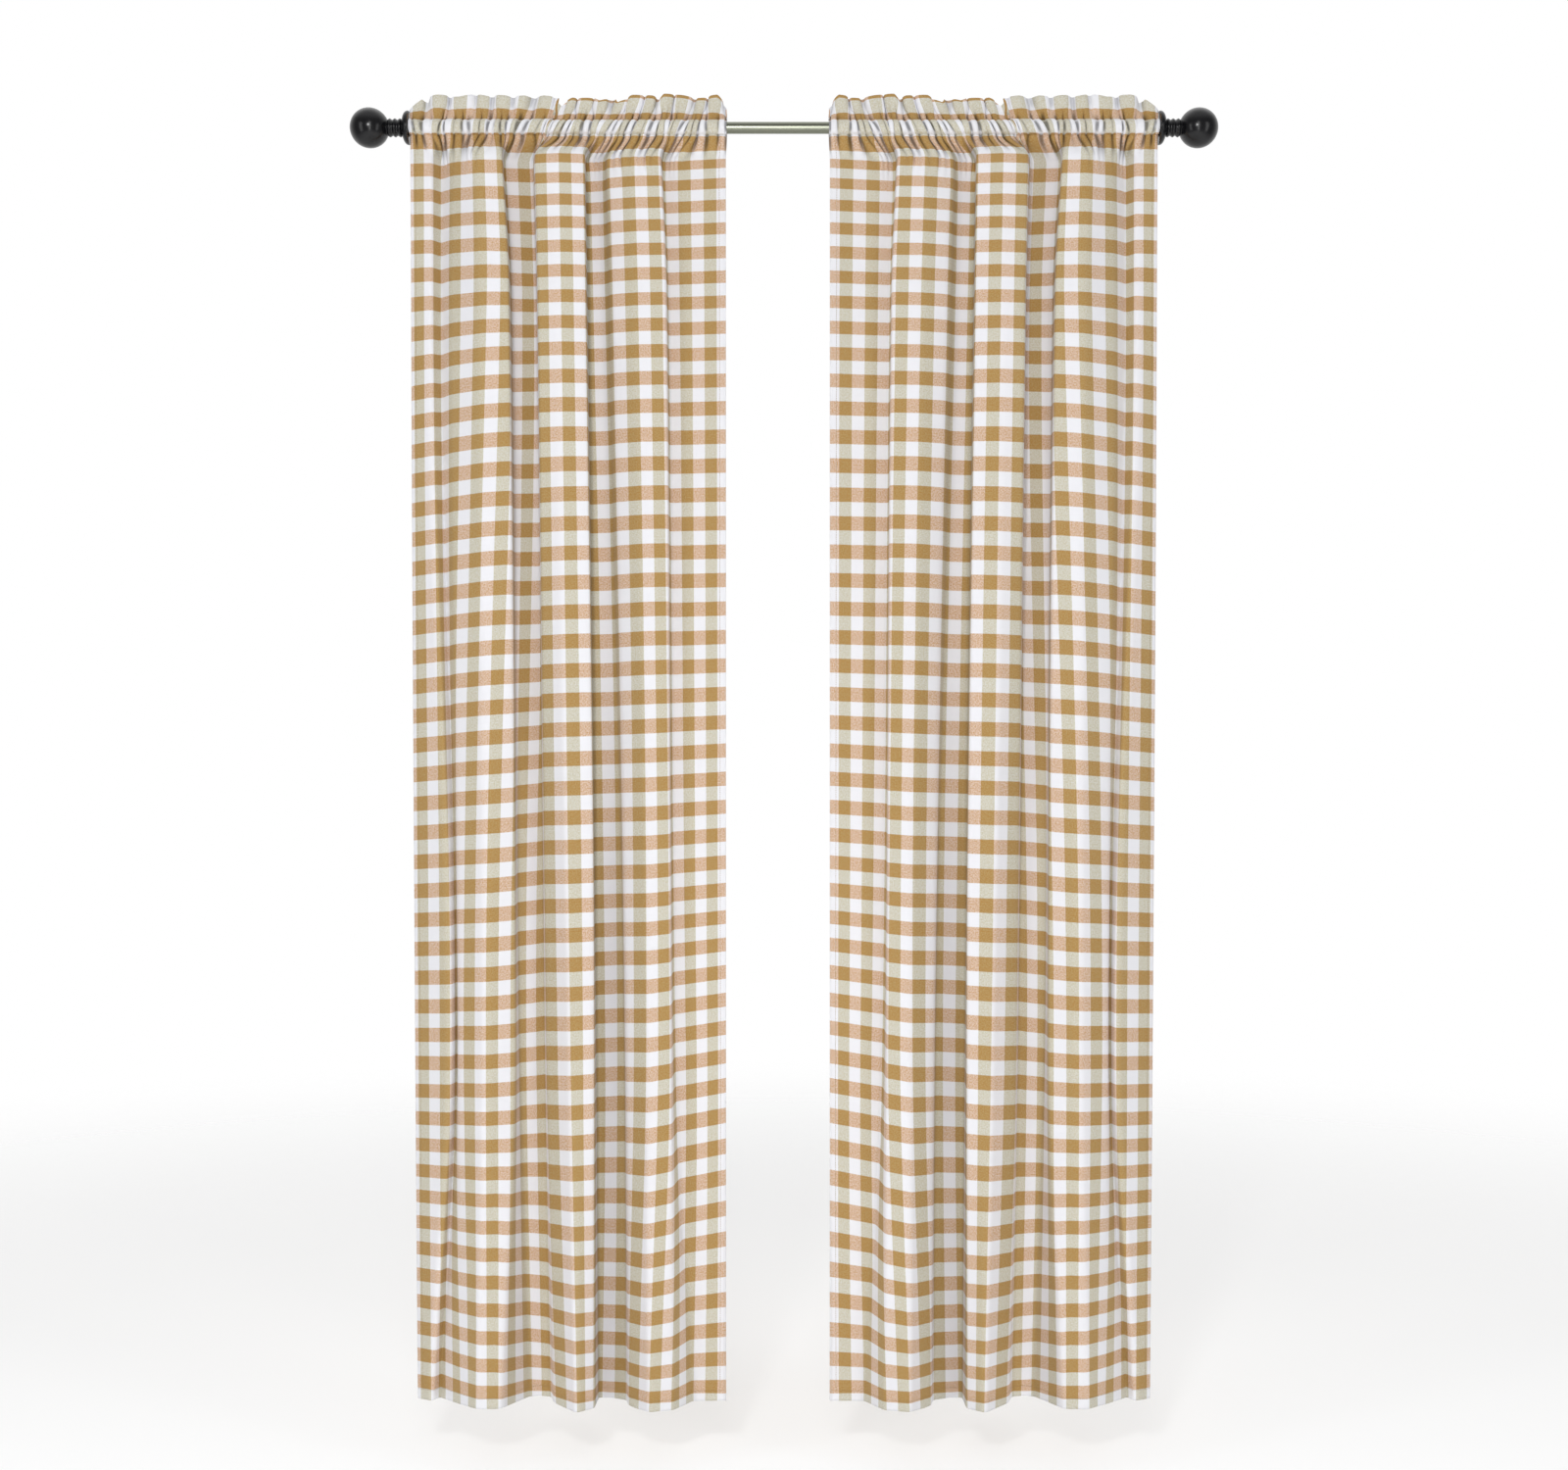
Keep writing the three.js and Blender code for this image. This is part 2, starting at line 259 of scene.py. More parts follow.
def studio_world():
    """Light by direction. The camera itself sees the backdrop's white in every direction."""
    world = bpy.data.worlds.new("studio")
    world.use_nodes = True
    nodes = Nodes(world.node_tree)
    direction = nodes.add("ShaderNodeTexCoord", {}, {}, "Generated")
    away = nodes.add("ShaderNodeSeparateXYZ", {}, {"Vector": direction}, "Y")
    around = away.ramp(*BACKDROP_EDGE, ROOM_LIGHT, BACKDROP_LIGHT)
    overhead = away.other("Z").ramp(*OVERHEAD_EDGE, 0, OVERHEAD_LIGHT)
    seen = nodes.add("ShaderNodeLightPath", {}, {}, "Is Camera Ray")
    inputs = {"Factor_Float": seen, "A_Float": around + overhead, "B_Float": BACKDROP_LIGHT}
    strength = nodes.add("ShaderNodeMix", {"data_type": "FLOAT"}, inputs, "Result_Float")
    background = world.node_tree.nodes["Background"]
    nodes.plug(background.inputs, "Strength", strength)
    nodes.plug(background.inputs, "Color", (1, 1, 1, 1))
    return world


def soft_lamp(name, place, target, size, power):
    lamp = bpy.data.lights.new(name, "AREA")
    lamp.shape = "RECTANGLE"
    lamp.size, lamp.size_y = size
    lamp.energy = power
    obj = link(bpy.data.objects.new(name, lamp))
    obj.location = place
    direction = Vector(target) - Vector(place)
    obj.rotation_euler = direction.to_track_quat("-Z", "Y").to_euler()


floor = round_floor()
bpy.context.scene.world = studio_world()
for name, lamp in LAMPS.items():
    soft_lamp(name, **lamp)
print("floor", FLOOR_HEIGHT, "lamps", list(LAMPS))

# %% [markdown]
# The rod is a drawn steel tube with a brushed nickel plating. The plating is brushed along its
# length, so its streaks are a noise that is stretched along X, which changes the roughness and
# dents the surface by a few thousandths of a millimetre.

# %% The rod
ROD_RADIUS = 9.525 * MM
ROD_SIDES = 96
ROD_RINGS = 40
NICKEL_DARK = (0.185, 0.195, 0.15, 1)
NICKEL_LIGHT = (0.26, 0.27, 0.22, 1)
BRUSHED = (6, 900, 900)
TARNISH = (3, 20, 20)
BRUSH_DEPTH = 0.004 * MM


def nickel_finish():
    finish = Finish("rod_metal", Metallic=1.0, IOR=1.6)
    place = finish.place()
    streaks = finish.noise(finish.stretched(place, BRUSHED), 1.0, 3.0)
    cloud = finish.noise(finish.stretched(place, TARNISH), 1.0, 1.0)
    finish.uses(
        Base_Color=streaks.blend(NICKEL_DARK, NICKEL_LIGHT),
        Roughness=0.14 + 0.05 * streaks + 0.03 * cloud,
    )
    finish.raises(streaks, BRUSH_DEPTH)
    return finish


def turned_shape(profile, sides, side=1):
    """A shape turned round the X axis, from pairs of distance along X and radius."""
    vertices, faces = [], []
    for x, radius in profile:
        for i in range(sides):
            angle = 2 * math.pi * i / sides
            vertices.append((side * x, radius * math.cos(angle), radius * math.sin(angle)))
    for ring in range(len(profile) - 1):
        for i in range(sides):
            a, b = ring * sides + i, ring * sides + (i + 1) % sides
            faces.append((a, b, b + sides, a + sides))
    faces.append(tuple(range(sides))[::-1])
    faces.append(tuple(range(len(vertices) - sides, len(vertices))))
    return vertices, faces


def declare(piece, node):
    """Every piece rides on the one body and stands for a CAD node."""
    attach(piece, BODY)
    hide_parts(node)
    print(piece.name, "for", node, len(piece.data.polygons), "faces")


rod_low, rod_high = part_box("rod")
rod_profile = [(x, ROD_RADIUS) for x in np.linspace(rod_low.x, rod_high.x, ROD_RINGS + 1)]
rod = mesh_object("curtain_rod", *turned_shape(rod_profile, ROD_SIDES), nickel_finish(), True)
declare(rod, "rod")

# %% [markdown]
# A finial is turned in one piece too: a flange flared like a bell that closes the end of the rod, a
# neck with three ribs, and a ball. Half its outline is enough, made of arcs and a wave for the ribs.
# The paint is a satin black lacquer: a dark base under a thin coat, with a very fine orange peel and
# a little dust in the roughness.

# %% The finials
FINIAL_START = 612 * MM
FLANGE_RADIUS = 27 * MM
FLANGE_LENGTH = 10 * MM
FLANGE_LIP = 1.5 * MM
FLANGE_STEPS = 20
NECK_RADIUS = 12.8 * MM
RIB_RADIUS = 14.8 * MM
RIB_COUNT = 3
RIB_STEPS = 16
BALL_RADIUS = 32 * MM
BALL_CENTRE = 676.5 * MM - FINIAL_START
BALL_STEPS = 48
FINIAL_SIDES = 96
BROKEN_EDGE = 0.4 * MM
CENTRE_RADIUS = 0.5 * MM
TIP_RADIUS = 0.3 * MM
BLACK_DARK = (0.003, 0.003, 0.004, 1)
BLACK_LIGHT = (0.008, 0.008, 0.009, 1)
PEEL_SCALE = 420.0
DUST_SCALE = 38.0
PEEL_DEPTH = 0.0015 * MM


def black_finish():
    finish = Finish("finial_metal", Metallic=0.0, IOR=1.42, Coat_Roughness=0.15, Coat_IOR=1.35)
    place = finish.place()
    peel = finish.noise(place, PEEL_SCALE, 1.0)
    dust = finish.noise(place, DUST_SCALE, 3.0)
    finish.uses(
        Base_Color=dust.blend(BLACK_DARK, BLACK_LIGHT),
        Roughness=0.20 + 0.04 * dust,
        Coat_Weight=0.02 + 0.05 * dust,
    )
    finish.raises(peel, PEEL_DEPTH)
    return finish


def finial_profile():
    """Half the outline, as distance along X and radius, from the flat back to the ball's tip."""
    outline = [(0, CENTRE_RADIUS), (0, FLANGE_RADIUS * 0.7)]
    outline += [(0, FLANGE_RADIUS - BROKEN_EDGE), (BROKEN_EDGE, FLANGE_RADIUS)]
    for i in range(FLANGE_STEPS + 1):
        angle = math.pi / 2 * i / FLANGE_STEPS
        radius = NECK_RADIUS + (FLANGE_RADIUS - NECK_RADIUS) * math.cos(angle)
        outline.append((FLANGE_LIP + (FLANGE_LENGTH - FLANGE_LIP) * math.sin(angle), radius))
    ball_start = math.pi - math.asin(NECK_RADIUS / BALL_RADIUS)
    neck_end = BALL_CENTRE + BALL_RADIUS * math.cos(ball_start)
    for i in range(1, RIB_COUNT * RIB_STEPS):
        swell = (1 - math.cos(2 * math.pi * i / RIB_STEPS)) / 2
        x = FLANGE_LENGTH + (neck_end - FLANGE_LENGTH) * i / (RIB_COUNT * RIB_STEPS)
        outline.append((x, NECK_RADIUS + (RIB_RADIUS - NECK_RADIUS) * swell))
    for i in range(BALL_STEPS):
        angle = ball_start * (1 - i / BALL_STEPS)
        outline.append((BALL_CENTRE + BALL_RADIUS * math.cos(angle), BALL_RADIUS * math.sin(angle)))
    outline.append((BALL_CENTRE + BALL_RADIUS, TIP_RADIUS))
    return [(FINIAL_START + x, radius) for x, radius in outline]


finial_paint = black_finish()
for name, side in (("left", -1), ("right", 1)):
    shape = turned_shape(finial_profile(), FINIAL_SIDES, side)
    finial = mesh_object(f"ball_finial_{name}", *shape, finial_paint, side > 0)
    declare(finial, f"finial_{name}")

# %% [markdown]
# The cloth is a plain woven cotton, 36 warp stripes wide, and a place across it is counted in
# stripes from the panel's outer edge. The panel hangs in folds that stay much the same all the way
# down, so the folds are a table: 18 fold lines, each with its place at four heights. "along" counts
# stripes, "across" is the distance from the outer edge, and "out" is the distance from the rod's
# axis towards the room, in millimetres like every size of the cloth. A curve runs down through the
# four places of each line, and straight cloth spans from line to line. The corners are then
# rounded, because cloth doesn't turn sharply.

# %% The folds
STRIPES = 36
OUTER_EDGE = 610
LEFT_WIDTH = 514
RIGHT_WIDTH = 534
PANELS = (("left", -1, LEFT_WIDTH), ("right", 1, RIGHT_WIDTH))
FAN_END = -50
HEM_HEIGHT = -2084
FOLD_SECTIONS = {
    FAN_END: {
        "along": [0, 2, 3.3, 4.6, 6.7, 8.75, 11.1, 13.6, 16.35, 18.3, 20.4, 22.9, 24.4, 25.2,
                  27.3, 29.5, 31.1, 36],
        "across": [0, 34, 47, 70, 112, 152, 148, 197, 205, 245, 286, 283, 314, 322, 366, 409, 410, 514],
        "out": [-2, 2, -16, 4, 20, 19, -25, -30, 20, 25, 20, -27, -20, -5, 6, 8, -22, -4],
    },
    -270: {
        "along": [0, 2, 3.3, 4.6, 7, 8.95, 11.3, 13.6, 16.4, 18.3, 20.3, 22.8, 24.4, 25.3,
                  27.3, 29.6, 31.3, 36],
        "across": [0, 34, 47, 68, 122, 164, 160, 203, 210, 249, 289, 286, 318, 329, 372, 418, 418, 514],
        "out": [-8, 2, -16, 5, 24, 22, -27, -33, 22, 28, 24, -28, -24, -8, 4, 8, -28, -8],
    },
    -1490: {
        "along": [0, 3.3, 4.8, 5.8, 8.3, 10.7, 12.6, 15.2, 16.4, 18.3, 20.2, 22.5, 24.9, 25.6,
                  27.5, 29.4, 31.2, 36],
        "across": [4, 67, 74, 79, 127, 173, 175, 216, 220, 263, 301, 299, 347, 350, 390, 426, 429, 514],
        "out": [-22, 8, -14, 4, 26, 14, -20, -34, -12, 15, 10, -36, -32, -14, 10, 8, -24, -20],
    },
    HEM_HEIGHT: {
        "along": [0, 1.4, 2.5, 5, 7.5, 9.5, 13, 15.3, 16.1, 18.2, 20.4, 23, 25.3, 26.3,
                  28.3, 30.5, 33.3, 36],
        "across": [7, 33, 42, 78, 114, 151, 190, 226, 233, 274, 301, 304, 351, 355, 391, 430, 460, 514],
        "out": [-30, -16, -36, -2, 28, 26, -32, -38, -12, 27, 10, -40, -32, -12, 22, 14, -32, -30],
    },
}
FOLD_ROUNDING = 0.25
ROUNDING_STEPS = np.linspace(-1, 1, 9)


def on_line(places, values, at):
    """Straight lines between the listed places. Beyond the ends the last line goes on."""
    places, values = np.asarray(places, float), np.asarray(values, float)
    index = np.clip(np.searchsorted(places, at) - 1, 0, len(places) - 2)
    share = (at - places[index]) / (places[index + 1] - places[index])
    return values[index] + share * (values[index + 1] - values[index])


def rounded_line(places, values, at, rounding):
    """The same straight lines, with each corner rounded over a distance to each side of it."""
    around = at[None, :] + rounding * ROUNDING_STEPS[:, None]
    return on_line(places, values, around).mean(axis=0)


def on_curve(places, values, at):
    """A curve through the listed places that keeps between neighbouring values."""
    places, values = np.asarray(places, float), np.asarray(values, float)
    steps = np.diff(places)
    slopes = np.diff(values) / steps
    tangents = np.empty(len(places))
    tangents[0], tangents[-1] = slopes[0], slopes[-1]
    product = slopes[:-1] * slopes[1:]
    total = np.where(slopes[:-1] + slopes[1:] == 0, 1, slopes[:-1] + slopes[1:])
    tangents[1:-1] = np.where(product > 0, 2 * product / total, 0)
    i = np.clip(np.searchsorted(places, at) - 1, 0, len(places) - 2)
    t = (at - places[i]) / steps[i]
    start = values[i] * (1 + 2 * t) * (1 - t) ** 2 + tangents[i] * steps[i] * t * (1 - t) ** 2
    end = values[i + 1] * (3 - 2 * t) * t ** 2 - tangents[i + 1] * steps[i] * t ** 2 * (1 - t)
    return start + end


def fold_lines(height):
    """The 18 fold lines where they cross one height."""
    depths = [-section for section in FOLD_SECTIONS]
    lines = {}
    for column in ("along", "across", "out"):
        table = np.array([section[column] for section in FOLD_SECTIONS.values()])
        lines[column] = np.array([on_curve(depths, line, -height) for line in table.T])
    return lines


def fold_at(height, along):
    """Places of the hanging cloth at one height, with the corners of the folds rounded."""
    lines = fold_lines(min(height, FAN_END))
    return [rounded_line(lines["along"], lines[way], along, FOLD_ROUNDING) for way in ("across", "out")]


sample = np.linspace(0, STRIPES, 9)
print("folds at the hem", np.round(fold_at(HEM_HEIGHT, sample)[1], 1))

# %% [markdown]
# The heading is where the cloth is gathered: a pocket round the rod between two rows of stitches,
# and a standing ruffle above it. Gathered cloth doesn't stretch. It turns to and fro, so a gather
# is best described by the direction in which the cloth runs, as an angle from the rod, and adding
# up small steps in that direction gives its path. Steep stretches then look narrow and flat ones
# wide, as in the photo. The ruffle has wide flutes, about one for two stripes, and the stitched
# rows have finer gathers. Slow waves keep any two from being alike.
# The outer part is gathered less than the inner part, and between them the cloth doubles over
# itself in a tuck, which is the dark line in the heading.

# %% The gathers
STRIPE = 20.2
TUCK_LIP = 14.3
TUCK_BACK = 14.8
TUCK_END = 15.3
HEADING_ALONG = [0, 13.3, TUCK_LIP, TUCK_BACK, TUCK_END, 16.3, STRIPES]
HEADING_ACROSS = [0, 231, 243.5, 239, 245, 256, LEFT_WIDTH]
TUCK_OUT = [0, 1.2, 2.6, 0.2, -2.0, 0, 0]
LEAN_ALONG = [0, 2, 5, 8.75, 11.1, 13.6, 16.35, 18.3, 20.4, 22.9, 24.4, 27.3, 29.5, 31.1, 34, STRIPES]
LEAN_ACROSS = [0, 4, 8, 6, 24, 20, 26, 22, 16, 30, 28, 20, 14, 22, 10, 0]
RUFFLE_LEAN = 0.6
FULLNESS_ALONG = [0, 12.5, 14, 15.5, 17, STRIPES]
FLUTES = {
    "angles": [1.2, 1.25, 0.5, 0.5, 1.4, 1.45],
    "length": 2.0,
    "start": 1.8,
    "tightness": 0.9,
    "uneven": [(0.16, 1.9, 0.5), (0.10, 4.3, 0)],
    "shifts": [(0.8, 0.7, 0.6), (0.55, 1.9, 0), (0.35, 4.1, 2)],
}
GATHERS = {
    "angles": [1.15, 1.2, 0.5, 0.5, 1.45, 1.5],
    "length": 0.75,
    "start": 0.0,
    "tightness": 0.8,
    "uneven": [(0.25, 1.7, 2), (0.15, 5.1, 0)],
    "shifts": [(1.1, 0.8, 0), (0.6, 2.3, 0), (0.45, 5.3, 1)],
}
GATHER_LEAN = [(0.22, 1.3, 1), (0.12, 3.7, 0)]
MEAN_LEAN = 0.12
TUCK_ROUNDING = 0.12
TREND = 3.0
WALK_MARGIN = 4
WALK_STEPS = 1760

walk = np.linspace(-WALK_MARGIN, STRIPES + WALK_MARGIN, WALK_STEPS + 1)
walk_step = walk[1] - walk[0]


def path_of(angles):
    """Walks along the cloth in the given directions, and takes away the way that it goes overall."""
    window = np.ones(int(TREND / walk_step)) / int(TREND / walk_step)
    path = []
    for part in (np.cos(angles), np.sin(angles)):
        sums = np.cumsum(part) * walk_step * STRIPE
        path.append(sums - np.convolve(sums, window, "same"))
    return path


def waves(at, parts):
    """A sum of sines, each with its size, rate and start."""
    return sum(size * np.sin(rate * at + start) for size, rate, start in parts)


def gathered_path(kind):
    """A path with broad rounded crests and tight creases between them."""
    turn = 2 * math.pi * (walk - kind["start"]) / kind["length"] + waves(walk, kind["shifts"])
    steepest = np.interp(walk, FULLNESS_ALONG, kind["angles"]) * (1 + waves(walk, kind["uneven"]))
    return path_of(steepest * np.sin(turn + kind["tightness"] * np.sin(turn)))


flute_path = gathered_path(FLUTES)
gather_path = gathered_path(GATHERS)


def along_path(path, along):
    """How far a place lies to the side, and how far out, on a gathered path."""
    return np.interp(along, walk, path[0]), np.interp(along, walk, path[1])


def heading_across(along, rise):
    """rise is 0 at the lower stitches and 1 at the upper ones. The gathers lean towards the middle."""
    across = rounded_line(HEADING_ALONG, HEADING_ACROSS, along, TUCK_ROUNDING)
    return across - (1 - rise / (1 + RUFFLE_LEAN)) * on_curve(LEAN_ALONG, LEAN_ACROSS, along)


def tuck_out(along):
    return rounded_line(HEADING_ALONG, TUCK_OUT, along, TUCK_ROUNDING)


def small_gathers(along, rise):
    """The gathers of the stitched rows, which lean this way and that between the two rows."""
    return along_path(gather_path, along + rise * (waves(along, GATHER_LEAN) + MEAN_LEAN))


print("flutes", np.round(along_path(flute_path, sample)[1], 1))
print("gathers", np.round(small_gathers(sample, 0)[1], 1))

# %% [markdown]
# The panel is one sheet that follows the real sewing. It starts behind the rod at the lower
# stitches, goes up the back of the pocket and of the ruffle, folds over at the top, and comes down
# the front: ruffle, pocket, then the long body, to the hem, where it folds back up inside. So each
# row of the mesh is one level of that path. A row gives four things for each place along the
# cloth: how far across the panel it is, how far out towards the room, its height, and how far in
# front of the other layer it lies.

# %% One row of the sheet
UPPER_STITCHES = 13.6
LOWER_STITCHES = -11.2
RUFFLE_TOP = 50
CLOTH = 0.7
STITCHED_LAYERS = 0.6
POCKET_SNUG = 9.525 + 0.35 + CLOTH / 2 + 0.15
POCKET_FULLNESS = 6.0
STITCHED_DEPTH = 1.25
SIDE_HEM_ROOM = 1.1
SIDE_HEM_EDGE = 0.6
POCKET_START = 14
POCKET_SPAN = 152
POCKET_ROUNDNESS = 0.6
RIDGE = (-3.4, 1.8)
TUCK_ON_POCKET = 0.7
RUFFLE_OPENS = (-1 / 11, 9 / 11)
RUFFLE_SWAY = 0.5
RUFFLE_LOFT = 0.5
SOFT_EDGE = 0.5
RUFFLE_ALONG = [0.3, 1, 1.6, 2, 3.3, 4.7, 5.6, 6.4, 7.1, 8.2, 9.3, 12.6, 14.3, 15.4, 16.1, 16.8,
                19.9, 20.4, 22.4, 22.7, 23.8, 24.6, 26.8, 28.1, 28.5, 30.1, 31.1, 32.9, 35, 35.6, 36]
RUFFLE_RISE = [-17, -4, -9, 0, 1, -1, 3, 3, 0, 1, -1, 0, -3, -16, -8, -3, -3, -8,
               -3, -10, -3, 2, 1, -6, 2, 3, 0, -4, 1, -8, -17]
FANS = [3.8, 5.9, 14.6, 23.6, 26.0, 28.1, 31.2]
FAN_REACH = 1.5
FAN_PINCH = 1.6
PLAIN_FADE = (0, 1.1)
FAN_FADE = (0.5, 1.8)
LAYERS_JOIN = 1 / 3
HEM_DROP_ALONG = [0, 9, 14, 18, 24, 27, STRIPES]
HEM_DROP = [1, 1, 4, -5, 0, -6, -3]
HEM_DROP_START = -1850


def rising(value, start, end):
    """0 up to the start, 1 from the end on, and smooth between them. The end may be the lower one."""
    share = np.clip((value - start) / (end - start), 0, 1)
    return share * share * (3 - 2 * share)


def between(along, start, end):
    """1 between two places on the cloth and 0 outside them, with soft ends."""
    return rising(along, start, start + SOFT_EDGE) * rising(along, end, end - SOFT_EDGE)


def ruffle_rise(along):
    return on_line(RUFFLE_ALONG, RUFFLE_RISE, along)


def ruffle_row(share, layer, along):
    """share is 0 at the upper stitches and 1 at the top. layer is 1 in front and -1 behind."""
    height = UPPER_STITCHES + share * (RUFFLE_TOP + ruffle_rise(along) - UPPER_STITCHES)
    opened = rising(share, *RUFFLE_OPENS) if share > 0 else 0
    side, out = small_gathers(along, 1 + RUFFLE_SWAY * share)
    flute_side, flute_out = along_path(flute_path, along)
    side = side + opened * (flute_side - side)
    out = STITCHED_DEPTH * out * (1 - opened) + opened * flute_out + tuck_out(along)
    apart = layer * (STITCHED_LAYERS + RUFFLE_LOFT * math.sin(math.pi * min(share, 0.9)))
    return heading_across(along, 1 + RUFFLE_LEAN * share) + side, out, height, apart


def pocket_row(degrees, along):
    """degrees runs from 0 at the top of the rod, by the room's side, and is negative behind it."""
    angle = math.radians(degrees)
    bulge = math.sin(math.pi * (abs(degrees) - POCKET_START) / POCKET_SPAN) ** POCKET_ROUNDNESS
    mirrored = 1 if degrees > 0 else -1
    rise = (math.cos(angle) + 1) / 2
    side, out = small_gathers(along, rise)
    fullness = POCKET_FULLNESS * bulge * rising(mirrored * out, *RIDGE)
    edge = SIDE_HEM_ROOM * (1 - between(along, SIDE_HEM_EDGE, STRIPES - SIDE_HEM_EDGE))
    tuck = TUCK_ON_POCKET * np.maximum(tuck_out(along), 0)
    radius = POCKET_SNUG + edge + fullness + tuck
    return heading_across(along, rise) + side, radius * math.sin(angle), radius * math.cos(angle), 0.0


def body_row(height, along):
    """Below the pocket the gathers are drawn together in fans, and fade out into the folds."""
    share = (LOWER_STITCHES - height) / (LOWER_STITCHES - FAN_END)
    opened = rising(share, 0, 1)
    across, out = fold_at(height, along)
    if share < 1:
        across = heading_across(along, 0) * (1 - opened) + opened * across
        out = tuck_out(along) * (1 - opened) + opened * out
    away = along[None, :] - np.array(FANS)[:, None]
    nearness = np.exp(-(away / FAN_REACH) ** 2)
    near = nearness.max(axis=0)
    fade = (1 - near) * (1 - rising(share, *PLAIN_FADE)) + near * (1 - rising(share, *FAN_FADE))
    drawn = along + FAN_PINCH * min(share, 1.0) * (nearness * away).sum(axis=0)
    side, gathered = small_gathers(drawn, 0)
    drop = on_line(HEM_DROP_ALONG, HEM_DROP, along) * rising(height, HEM_DROP_START, HEM_HEIGHT)
    layer = STITCHED_LAYERS * max(1 - share / LAYERS_JOIN, 0)
    return across + fade * side, out + STITCHED_DEPTH * fade * gathered, height + drop, layer


print("ruffle top", np.round(ruffle_row(1, 1, sample)[2], 1))

# %% [markdown]
# The check comes from the yarns, so the colours follow the cloth and not the room. A UV map holds
# the place in the weave: x counts pairs of warp stripes, and y counts rows of the check from the
# hem up. In the photo the rows aren't equally far apart: they are closer in the heading, and the
# inner part of the heading lies a row lower than the outer part, a shift that the tuck hides.
# A short table holds the heights of some rows at six places across, and curves run between them.
# In the heading a row has one height on the outer part and one on the inner part.

# %% The rows of the check
ROW_PLACES = [0, 9, TUCK_LIP, TUCK_END, 27.5, STRIPES]
ROW_HEIGHTS = {
    -2: [-2129, -2131, -2135, -2136, -2140, -2139],
    -0.5: [-2065, -2067, -2073, -2074, -2076, -2075],
    0: [-2043, -2046, -2055, -2057, -2059, -2053],
    5: [-1823, -1823, -1835, -1838, -1836, -1807],
    10: [-1609, -1602, -1599, -1598, -1581, -1554],
    20: [-1140, -1127, -1118, -1116, -1108, -1097],
    30: [-659, -644, -640, -639, -632, -632],
    35: [-420, -406, -400, -399, -398, -399],
    40: [-182, -186, -188, -190, -189, -191],
}
HEADING_ROWS = {43: (-58, -80), 44: (-11, -49), 44.5: (13, -36), 45: (30, -14), 45.5: (54, 9),
                46: (78, 23), 46.5: (102, 46), 47: (126, 72)}
for row, (outer, inner) in HEADING_ROWS.items():
    ROW_HEIGHTS[row] = [outer] * 3 + [inner] * 3
ROW_PERIOD = 48


def weave_row(height, along):
    """The row of the check at each place, where height is one number or one for each place."""
    heights = np.broadcast_to(height, along.shape)
    rows = np.array(list(ROW_HEIGHTS), float)
    table = np.array(list(ROW_HEIGHTS.values()), float)
    columns = np.array([on_line(ROW_PLACES, line, np.clip(along, 0, STRIPES)) for line in table])
    return np.array([on_curve(columns[:, i], rows, heights[i]) for i in range(len(along))])


print("rows at the hem", np.round(weave_row(HEM_HEIGHT, sample), 2))

# %% [markdown]
# Now the rows are joined into one sheet. The heading's fine gathers need many columns, and below
# them every second one is enough. The columns at both ends fold back by a centimetre: those are the
# side hems. A folded layer lies behind the other one, so it is moved back along the cloth's normal,
# which is found by comparing each place with its two neighbours.
# Each place also gets a painted shade from 0 to 1 for the cotton to read: in the tight creases of the
# heading, on one wall of two deep folds, and near the hem on the floor of a third.

# %% The sheet
HEADING_COLUMNS = 560
SIDE_HEM = 0.55
SIDE_HEM_FOLD = [SIDE_HEM, SIDE_HEM / 2, 0.08, -0.02]
HEM_DEPTH = 18
HEM_TOP = HEM_HEIGHT + HEM_DEPTH
HEM_LAYERS = 1.25
HEADING_END = -120
NEIGHBOUR = 0.03
POCKET_TOP = 30
POCKET_BOTTOM = 146
PARTS_BELOW = {"gathers": -60, "fade": HEADING_END, "body": HEM_TOP, "hem": HEM_HEIGHT}
BEHIND_ROWS = {"pocket": 7, "ruffle": 6}
FRONT_ROWS = {"ruffle": 10, "pocket": 11, "gathers": 12, "fade": 6, "body": 56, "hem": 5}
CREST_ROOM = 0.9
CREST_WEAVE = 0.02
HEM_TURN = 0.4
HEM_STEPS = [HEM_TURN, 4, HEM_DEPTH / 2, HEM_DEPTH]
# How the painted shade is spread: over the creases, two fold walls and one fold floor.
CREASE_REACH = 7
STITCHED_CREASE = (0.6, 4.6)
FLUTE_CREASE = (3.2, 14.2)
FLUTES_OPEN = UPPER_STITCHES + 20
CREASES_FADE = (FAN_END - 5, FAN_END + 30)
FOLD_CREASE_SHADE = 0.15
SHADED_WALLS = {5: 0.3, 10: 0.5}
WALL_EDGES = (0.1, 0.5)
WALL_SHADE_START = FAN_END - 60
SHADED_FLOOR = 11
FLOOR_SHADE = 0.28
FLOOR_SHADE_GROWS = (-600, -1500)


def sheet_columns():
    """Where each column lies, which place of the weave it is, and how far behind it is."""
    along = np.linspace(0, STRIPES, HEADING_COLUMNS + 1)
    fold = np.array(SIDE_HEM_FOLD)
    behind = np.array([1, 1, 0.9, 0.5]) * HEM_LAYERS
    lies = np.concatenate([fold, along, STRIPES - fold[::-1]])
    woven = np.concatenate([-np.abs(fold), along, STRIPES + np.abs(fold[::-1])])
    back = np.concatenate([behind, np.zeros(len(along)), behind[::-1]])
    return lies, woven, back


def body_columns():
    """The columns that go on below the heading: every second one, and all of the side hems'."""
    hem = len(SIDE_HEM_FOLD)
    last = hem + HEADING_COLUMNS
    return np.concatenate([np.arange(hem), np.arange(hem, last + 1, 2), last + 1 + np.arange(hem)])


